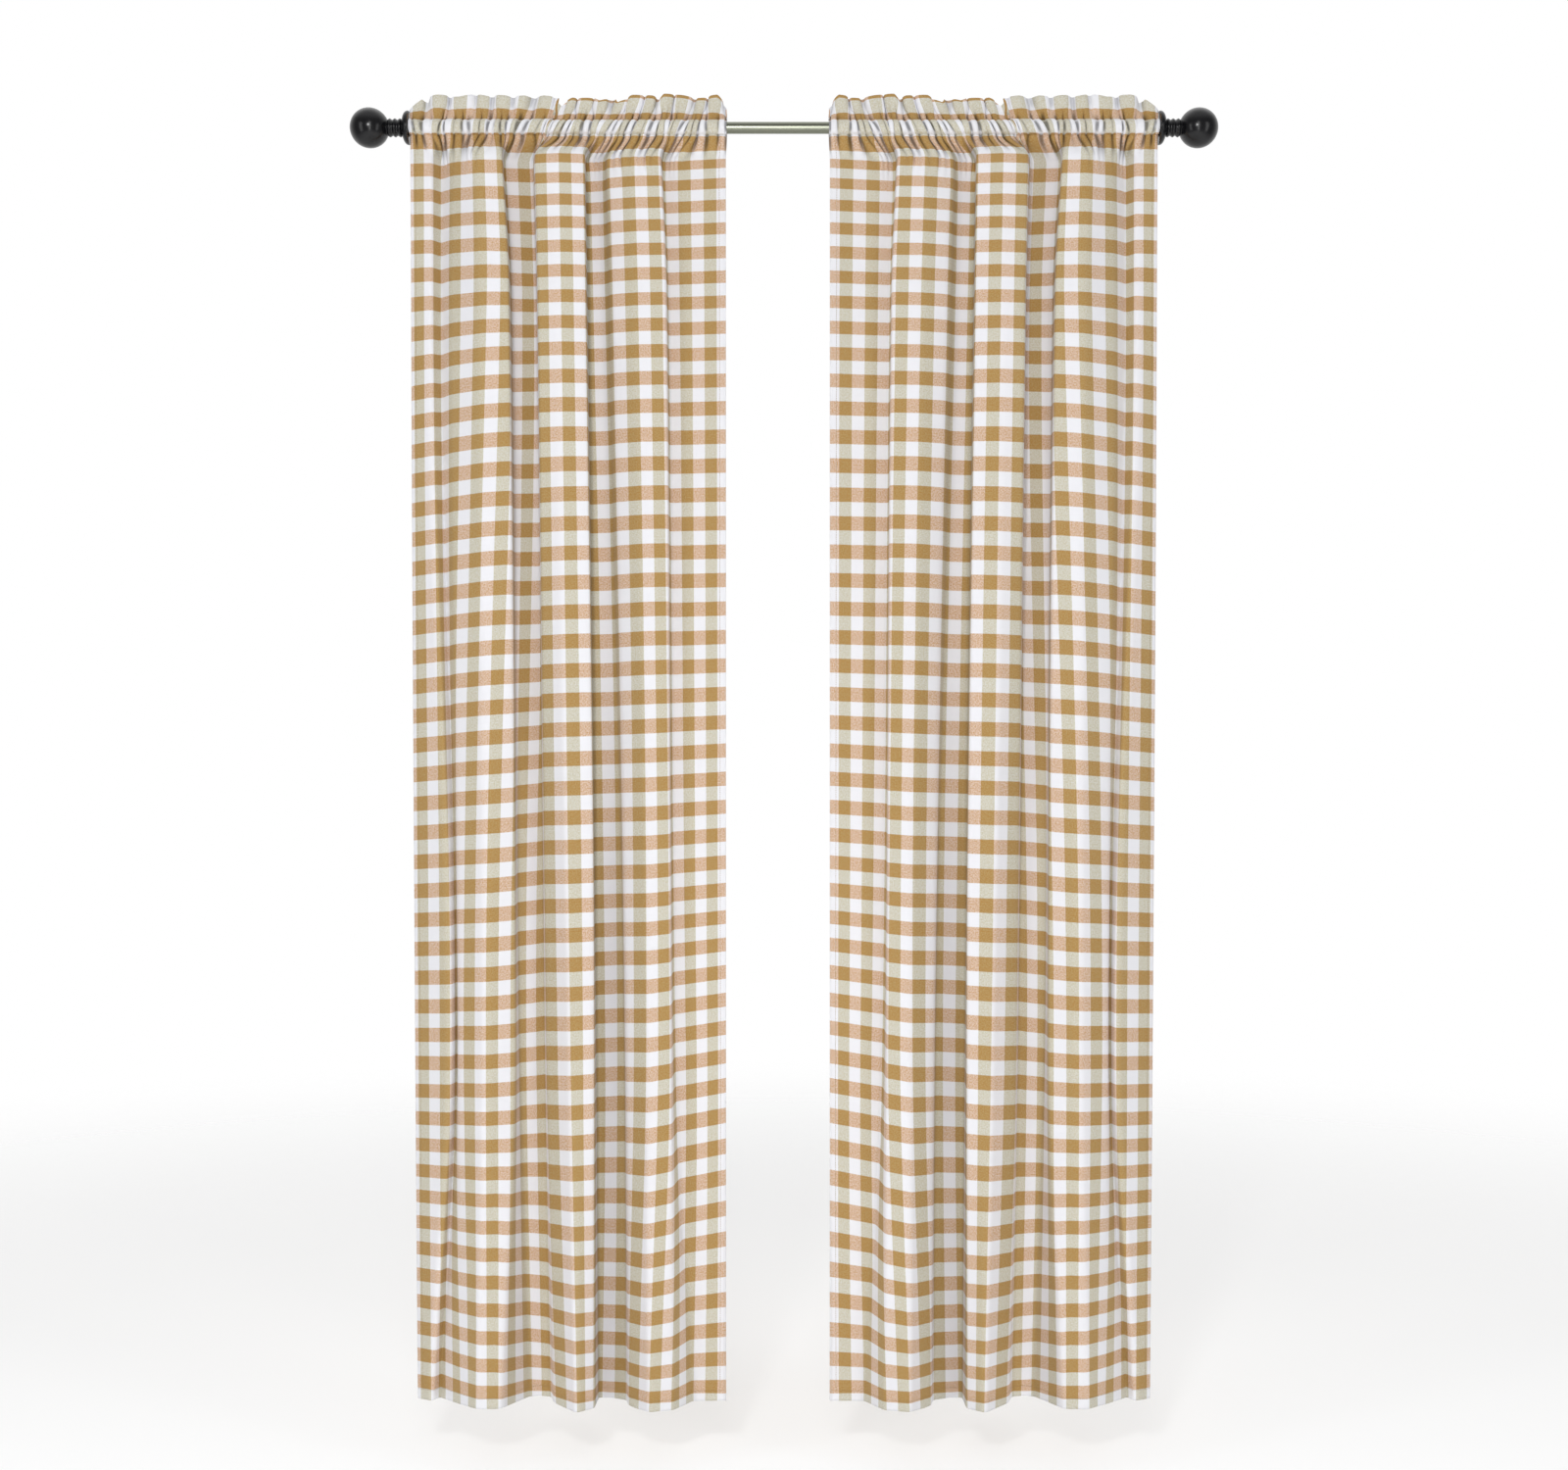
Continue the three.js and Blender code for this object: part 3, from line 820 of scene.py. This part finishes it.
def placed(maker, arguments, along, behind):
    """Places on the cloth, moved along its own normal by their layer and by how far behind they are."""
    across, out, height, apart = maker(*arguments, along)
    after = maker(*arguments, along + NEIGHBOUR)
    before = maker(*arguments, along - NEIGHBOUR)
    run, rise = after[0] - before[0], after[1] - before[1]
    length = np.hypot(run, rise)
    shift = apart - behind
    across = across - shift * rise / length
    out = out + shift * run / length
    return np.stack([across, -out, np.broadcast_to(height, across.shape)], axis=1)


def level(maker, *arguments):
    """A row of the sheet, with the side hems behind its ends."""
    lies, _, back = sheet_columns()
    return placed(maker, arguments, lies, back)


def layer_behind(height, depth, along):
    """A row of the body once more, as a layer that lies behind it."""
    across, out, height, _ = body_row(height, along)
    return across, out, height, -depth


def back_rows():
    """The rows behind, from the lower stitches up to the ruffle's top."""
    angles = np.linspace(POCKET_BOTTOM, POCKET_TOP, BEHIND_ROWS["pocket"])
    shares = np.linspace(0, 1, BEHIND_ROWS["ruffle"])
    rows = [(layer_behind, LOWER_STITCHES, STITCHED_LAYERS)]
    rows += [(pocket_row, -degrees) for degrees in angles]
    rows += [(ruffle_row, share, -1) for share in shares]
    return [level(*row) for row in rows]


def front_rows():
    """The rows in front, from the ruffle's top down to the bottom of the hem."""
    shares = np.linspace(1, 0, FRONT_ROWS["ruffle"])
    angles = np.linspace(POCKET_TOP, POCKET_BOTTOM, FRONT_ROWS["pocket"])
    heights = [LOWER_STITCHES]
    for part, end in PARTS_BELOW.items():
        heights += list(np.linspace(heights[-1], end, FRONT_ROWS[part]))[1:]
    rows = [(ruffle_row, share, 1) for share in shares]
    rows += [(pocket_row, degrees) for degrees in angles]
    rows += [(body_row, height) for height in heights]
    return [level(*row) for row in rows]


def creases(places, toward):
    """A painted shade, 0 on a crest and 1 deep in a crease. toward is 1 on the room's side and -1 behind.
    """
    out = -toward * places[:, 1]
    around = [np.roll(out, step) for step in range(-CREASE_REACH, CREASE_REACH + 1)]
    below_crest = np.max(around, axis=0) - out
    height = places[:, 2].mean()
    in_flutes = rising(height, UPPER_STITCHES, FLUTES_OPEN)
    start, end = (np.interp(in_flutes, (0, 1), pair) for pair in zip(STITCHED_CREASE, FLUTE_CREASE))
    in_heading = rising(height, *CREASES_FADE)
    return rising(below_crest, start, end) * (FOLD_CREASE_SHADE + (1 - FOLD_CREASE_SHADE) * in_heading)


# Painted shade on two fold walls and, towards the hem, on one fold floor: the cloth's colour is made
# darker there.
def fold_shade(height, along):
    """Two deep folds keep a wall in shade, and towards the hem another one keeps its floor in shade."""
    lines = fold_lines(min(height, FAN_END))["along"]
    floor = between(along, lines[SHADED_FLOOR], lines[SHADED_FLOOR + 2])
    shades = [FLOOR_SHADE * floor * rising(height, *FLOOR_SHADE_GROWS)]
    for line, strength in SHADED_WALLS.items():
        wall = between(along, lines[line] + WALL_EDGES[0], lines[line + 1] + WALL_EDGES[1])
        shades.append(strength * wall)
    return np.max(shades, axis=0) * rising(height, FAN_END, WALL_SHADE_START)


def front_weave(places, lies, woven):
    """The weave follows the ruffle's own top, which isn't level."""
    share = np.clip((places[:, 2] - UPPER_STITCHES) / (RUFFLE_TOP - UPPER_STITCHES), 0, 1)
    return weave_row(places[:, 2] - share * ruffle_rise(lies), woven)


def sheet_rows():
    """All rows of the sheet as places, each with the weave's row at each place."""
    lies, woven, _ = sheet_columns()
    front = front_rows()
    weaves = [front_weave(places, lies, woven) for places in front]
    rows, beyond, previous = [], 0.0, front[0]
    for places in reversed(back_rows()):
        beyond += np.linalg.norm(places - previous, axis=1).mean()
        rows.insert(0, (places, weaves[0] + beyond / ROW_PERIOD))
        previous = places
    crest = (front[0] + rows[-1][0]) / 2 + np.array([0, 0, CREST_ROOM])
    rows.append((crest, weaves[0] + CREST_WEAVE))
    rows += list(zip(front, weaves))
    for distance in HEM_STEPS:
        depth = HEM_LAYERS / 2 if distance == HEM_TURN else HEM_LAYERS
        places = level(layer_behind, HEM_HEIGHT + distance - HEM_TURN, depth)
        rows.append((places, weaves[-1] - distance / ROW_PERIOD))
    return rows


def sheet_mesh(rows):
    """Places, faces, maps and painted shades of the sheet, with fewer columns below the heading."""
    lies, woven, _ = sheet_columns()
    count = len(rows)
    places, faces, weave_map, grid_map, shades = [], [], [], [], []
    upper, upper_columns = None, None
    crest_row = max(range(count), key=lambda i: rows[i][0][:, 2].mean())
    for number, (row, weave) in enumerate(rows):
        in_heading = row[:, 2].min() > HEADING_END - 1
        columns = np.arange(len(woven)) if in_heading else body_columns()
        line = len(places) + np.arange(len(columns))
        if upper is not None:
            faces += faces_between(upper, upper_columns, line, columns)
        places += list(row[columns])
        weave_map += list(zip(woven[columns] / 2, weave[columns]))
        # The painted shade of a place is the larger of its crease shade and its fold shade.
        in_gathers = creases(row, 1 if number >= crest_row else -1)
        in_folds = fold_shade(row[:, 2].mean(), lies)
        shades += list(np.maximum(in_gathers, in_folds)[columns])
        grid_map += [(column / (len(woven) - 1), 1 - number / (count - 1)) for column in columns]
        upper, upper_columns = line, columns
    return np.array(places), faces, np.array(weave_map), np.array(grid_map), np.array(shades)


def faces_between(upper, upper_columns, lower, lower_columns):
    """Faces with four corners, or with five where the lower row has fewer columns."""
    where = np.searchsorted(upper_columns, lower_columns)
    faces = []
    for i in range(len(lower) - 1):
        across_top = list(upper[where[i]:where[i + 1] + 1])
        faces.append([int(v) for v in [lower[i], lower[i + 1]] + across_top[::-1]])
    return faces


sewn_rows = sheet_rows()
sheet_places, sheet_faces, sheet_weave, sheet_grid, sheet_shades = sheet_mesh(sewn_rows)

# %% [markdown]
# The cotton is yarn dyed. White and khaki warp stripes cross white and gold brown weft bands, which
# gives four kinds of cell: white, sage, peach and gold brown. Each is a mix of the two yarns that
# cross there, so its colour is one mean with a fine speckle where the yarns differ. The masks are
# cosines of the UV map with a steep slope, which gives clean edges that are still soft by about
# the width of a yarn. Slubs, thicker stretches of yarn, are noise that is long in one direction.
# The stored shade is painted shade: little light gets into the tight creases of the heading and into the
# deepest folds, so the colour is made darker there.

# %% The check cotton
WHITE_CELL = (0.895, 0.895, 0.935, 1)
SAGE_CELL = (0.566, 0.552, 0.43, 1)
PEACH_CELL = (0.705, 0.413, 0.18, 1)
GOLD_CELL = (0.411, 0.222, 0.033, 1)
KHAKI_YARN = (0.60, 0.50, 0.27, 1)
GOLD_YARN = (0.46, 0.20, 0.05, 1)
WHITE_YARN = (0.93, 0.935, 0.975, 1)
EDGE_SLOPE = 16
KHAKI_START = 0.40
GOLD_START = 0.75
WARP_SLUBS = (120, 3, 1)
WEFT_SLUBS = (3, 120, 1)
SLUB_SHIFT = 0.012
GRAIN = (20, 20, 1)
GRAIN_GAIN = 2.2
YARNS_PER_PERIOD = 34
YARN_CONTRAST = 0.5
YARN_DEPTH = 0.22 * MM
CREASE_SHADE = 0.64


def wave(value, turns, start=0.0):
    """A cosine that goes through a number of turns as the value grows by 1."""
    return (value * (2 * math.pi * turns) + (math.pi / 2 - 2 * math.pi * turns * start)).sine()


def cotton_finish():
    finish = Finish("check_cloth", IOR=1.45, Sheen_Weight=0.12, Sheen_Roughness=0.5)
    weave_map = finish.add("ShaderNodeUVMap", {"uv_map": "cloth"}, {})
    warp = finish.add("ShaderNodeSeparateXYZ", {}, {"Vector": weave_map}, "X")
    weft = warp.other("Y")
    warp_slub = finish.noise(finish.stretched(weave_map, WARP_SLUBS), 1.0, 2.0)
    weft_slub = finish.noise(finish.stretched(weave_map, WEFT_SLUBS), 1.0, 2.0)
    warp_place = warp + (warp_slub - 0.5) * SLUB_SHIFT
    weft_place = weft + (weft_slub - 0.5) * SLUB_SHIFT
    khaki = (wave(warp_place, 1, KHAKI_START) * EDGE_SLOPE + 0.5).clamped()
    gold = (wave(weft_place, 1, GOLD_START) * EDGE_SLOPE + 0.5).clamped()
    cell = khaki.blend(gold.blend(WHITE_CELL, PEACH_CELL), gold.blend(SAGE_CELL, GOLD_CELL))
    over = wave(warp, YARNS_PER_PERIOD) * wave(weft, YARNS_PER_PERIOD)
    grain = finish.noise(finish.stretched(weave_map, GRAIN), 1.0, 4.0)
    lift = (over * 0.30 + (grain - 0.5) * GRAIN_GAIN + 0.5).clamped()
    yarns = lift.blend(gold.blend(WHITE_YARN, GOLD_YARN), khaki.blend(WHITE_YARN, KHAKI_YARN))
    # Painted shade: the crease attribute makes the colour darker in creases and folds. The slubs' part of
    # shade is the yarn's own tone.
    crease = finish.add("ShaderNodeAttribute", {"attribute_name": "crease"}, {}, "Fac")
    shade = (0.955 + 0.05 * warp_slub + 0.05 * weft_slub) * (1 - CREASE_SHADE * crease)
    mixed = finish.mix(YARN_CONTRAST, cell, yarns)
    toned = finish.add("ShaderNodeHueSaturation", {}, {"Color": mixed, "Value": shade})
    finish.uses(Base_Color=toned, Roughness=0.82 + 0.12 * grain)
    finish.raises(over * 0.35 + warp_slub * 0.3 + weft_slub * 0.3, YARN_DEPTH, 0.6)
    return finish


cotton = cotton_finish()
print("cotton nodes", len(cotton.tree.nodes))

# %% [markdown]
# Both panels are the same sheet. The right one is the left one mirrored and hung a little wider.
# The sheet is cut 727 mm wide, with 11 mm more for each side hem, and its length is the path from
# the pocket's back over the ruffle and down to the folded hem. Solidify gives it its thickness, the
# result becomes a plain mesh, and each face of the cloth gets its own part of the bake map.

# %% The panels
BAKE_GAP = 0.005


def in_the_room(places, side, width):
    """Where places of the sheet lie in the room, in metres."""
    moved = places.copy()
    moved[:, 0] = side * OUTER_EDGE - side * places[:, 0] * width / LEFT_WIDTH
    return moved * MM


def give_maps(mesh):
    """The weave's map, a bake map with the sheet's two faces side by side, and the painted shades."""
    vertex = np.array([loop.vertex_index for loop in mesh.loops])
    single = vertex % len(sheet_places)
    cloth_map = mesh.uv_layers.new(name="cloth")
    cloth_map.data.foreach_set("uv", sheet_weave[single].ravel())
    bake_map = mesh.uv_layers.new(name="OFBake")
    shrunk = BAKE_GAP + sheet_grid[single] * ((0.5 - 2 * BAKE_GAP), (1 - 2 * BAKE_GAP))
    shrunk[:, 0] += 0.5 * (vertex >= len(sheet_places))
    bake_map.data.foreach_set("uv", shrunk.ravel())
    # The painted shade is stored as the point attribute crease.
    crease = mesh.attributes.new("crease", "FLOAT", "POINT")
    in_sheet = np.arange(len(mesh.vertices)) % len(sheet_places)
    crease.data.foreach_set("value", sheet_shades[in_sheet].astype(np.float32))
    mesh.uv_layers.active = cloth_map
    cloth_map.active_render = True


def plain_copy(obj):
    """Turns what an object looks like with its modifiers into its own plain mesh."""
    evaluated = obj.evaluated_get(bpy.context.evaluated_depsgraph_get())
    mesh = bpy.data.meshes.new_from_object(evaluated)
    obj.modifiers.clear()
    obj.data = mesh


def make_panel(name, side, width):
    panel = mesh_object(name, in_the_room(sheet_places, side, width), sheet_faces, cotton, side > 0)
    thickness = panel.modifiers.new("thickness", "SOLIDIFY")
    thickness.thickness = CLOTH * MM
    thickness.offset = 0
    plain_copy(panel)
    give_maps(panel.data)
    return panel


for name, side, width in PANELS:
    panel = make_panel(f"check_panel_{name}", side, width)
    declare(panel, f"panel_{name}")

# %% [markdown]
# The panel is sewn with a lockstitch: two rows in the heading that hold the pocket, one row along
# the bottom hem and one down each side hem. A machine lays one stitch after another at an even
# spacing, and so can Geometry Nodes: they walk along each seam, put a small grain of thread at
# every step and turn it along the seam. A stitch bulges in its middle and dips into the cloth at
# its ends, so a stretched ball is the right shape for it.

# %% The stitches
STITCH_SPACING = 3.6 * MM
STITCH_LENGTH = 3.0 * MM
THREAD_RADIUS = 0.32 * MM
THREAD_SEED = 7
LOOSEST = 0.88
TIGHTEST = 1.08
SEAM_END = 0.1
SEAM_STEP = 0.05
SIDE_SEAM = 0.47
SIDE_SEAM_START = LOWER_STITCHES - 4
SIDE_SEAM_STEPS = 120
HEM_SEAM = HEM_TOP - 1.5
THREAD_RAISED = CLOTH / 2 + 0.12
THREAD_DARK = (0.26, 0.17, 0.075, 1)
THREAD_LIGHT = (0.37, 0.25, 0.12, 1)
FIBRE_SCALE = 2600.0
WEAR_SCALE = 60.0
FIBRE_DEPTH = 0.08 * MM


def thread_finish():
    finish = Finish("hem_thread", IOR=1.45, Sheen_Weight=0.1)
    place = finish.place()
    fibres = finish.noise(place, FIBRE_SCALE, 2.0)
    worn = finish.noise(place, WEAR_SCALE, 2.0)
    finish.uses(
        Base_Color=worn.blend(THREAD_DARK, THREAD_LIGHT),
        Roughness=0.62 + 0.25 * fibres,
    )
    finish.raises(fibres, FIBRE_DEPTH)
    return finish


def seams():
    """The seams of one panel, each as a line of places on the cloth's front."""
    along = np.arange(SEAM_END, STRIPES - SEAM_END, SEAM_STEP)
    raised = np.full(len(along), -THREAD_RAISED)
    rows = [(ruffle_row, (0, 1)), (body_row, (LOWER_STITCHES,)), (body_row, (HEM_SEAM,))]
    across = [placed(*row, along, raised) for row in rows]
    heights = np.linspace(SIDE_SEAM_START, HEM_TOP, SIDE_SEAM_STEPS)
    down = []
    for place in (SIDE_SEAM, STRIPES - SIDE_SEAM):
        at, behind = np.array([place]), np.array([-THREAD_RAISED])
        down.append(np.concatenate([placed(body_row, (height,), at, behind) for height in heights]))
    return across + down


def seam_lines(name, side, width):
    """An object of bare edges that run along the seams."""
    places, edges = [], []
    for line in seams():
        start = len(places)
        places += [tuple(place) for place in in_the_room(line, side, width)]
        edges += [(i, i + 1) for i in range(start, len(places) - 1)]
    mesh = bpy.data.meshes.new(name)
    mesh.from_pydata(places, edges, [])
    return link(bpy.data.objects.new(name, mesh))


def lockstitch_nodes(thread):
    """Nodes that put a grain of thread at every step along the lines of a mesh."""
    group = bpy.data.node_groups.new("lockstitch", "GeometryNodeTree")
    sockets = {"Seams": "Geometry", "Spacing": "Float", "Stitch length": "Float",
               "Thread radius": "Float", "Seed": "Int"}
    for name, kind in sockets.items():
        group.interface.new_socket(name, in_out="INPUT", socket_type=f"NodeSocket{kind}")
    group.interface.new_socket("Stitches", in_out="OUTPUT", socket_type="NodeSocketGeometry")
    nodes = Nodes(group)
    given = nodes.add("NodeGroupInput", {}, {}, "Seams")
    curve = nodes.add("GeometryNodeMeshToCurve", {}, {"Mesh": given})
    spaced = {"Curve": curve, "Length": given.other("Spacing")}
    steps = nodes.add("GeometryNodeCurveToPoints", {"mode": "LENGTH"}, spaced, "Points")
    grain = nodes.add("GeometryNodeMeshUVSphere", {}, {"Segments": 6, "Rings": 5, "Radius": 1}, "Mesh")
    radius = given.other("Thread radius")
    half_length = given.other("Stitch length") * 0.5
    size = nodes.add("ShaderNodeCombineXYZ", {}, {"X": radius, "Y": radius, "Z": half_length})
    pull = {"Min_001": LOOSEST, "Max_001": TIGHTEST, "Seed": given.other("Seed")}
    tension = nodes.add("FunctionNodeRandomValue", {"data_type": "FLOAT"}, pull, "Value_001")
    scaled = nodes.add("ShaderNodeVectorMath", {"operation": "SCALE"}, {0: size, "Scale": tension})
    laid = {"Points": steps, "Instance": grain, "Rotation": steps.other("Rotation"), "Scale": scaled}
    copies = nodes.add("GeometryNodeInstanceOnPoints", {}, laid)
    real = nodes.add("GeometryNodeRealizeInstances", {}, {"Geometry": copies})
    rounded = nodes.add("GeometryNodeSetShadeSmooth", {}, {"Geometry": real})
    dyed = nodes.add("GeometryNodeSetMaterial", {}, {"Geometry": rounded, "Material": thread.material})
    result = group.nodes.new("NodeGroupOutput")
    nodes.plug(result.inputs, "Stitches", dyed)
    return group


def sew(name, side, width, group):
    """Lays the stitches of one panel and makes them a plain mesh."""
    stitches = seam_lines(name, side, width)
    modifier = stitches.modifiers.new("lockstitch", "NODES")
    modifier.node_group = group
    settings = {"Spacing": STITCH_SPACING, "Stitch length": STITCH_LENGTH,
                "Thread radius": THREAD_RADIUS, "Seed": THREAD_SEED}
    for item in group.interface.items_tree:
        if item.name in settings:
            modifier[item.identifier] = settings[item.name]
    plain_copy(stitches)
    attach(stitches, BODY)
    print(name, len(stitches.data.polygons), "faces")


lockstitch = lockstitch_nodes(thread_finish())
for name, side, width in PANELS:
    sew(f"stitches_{name}", side, width, lockstitch)
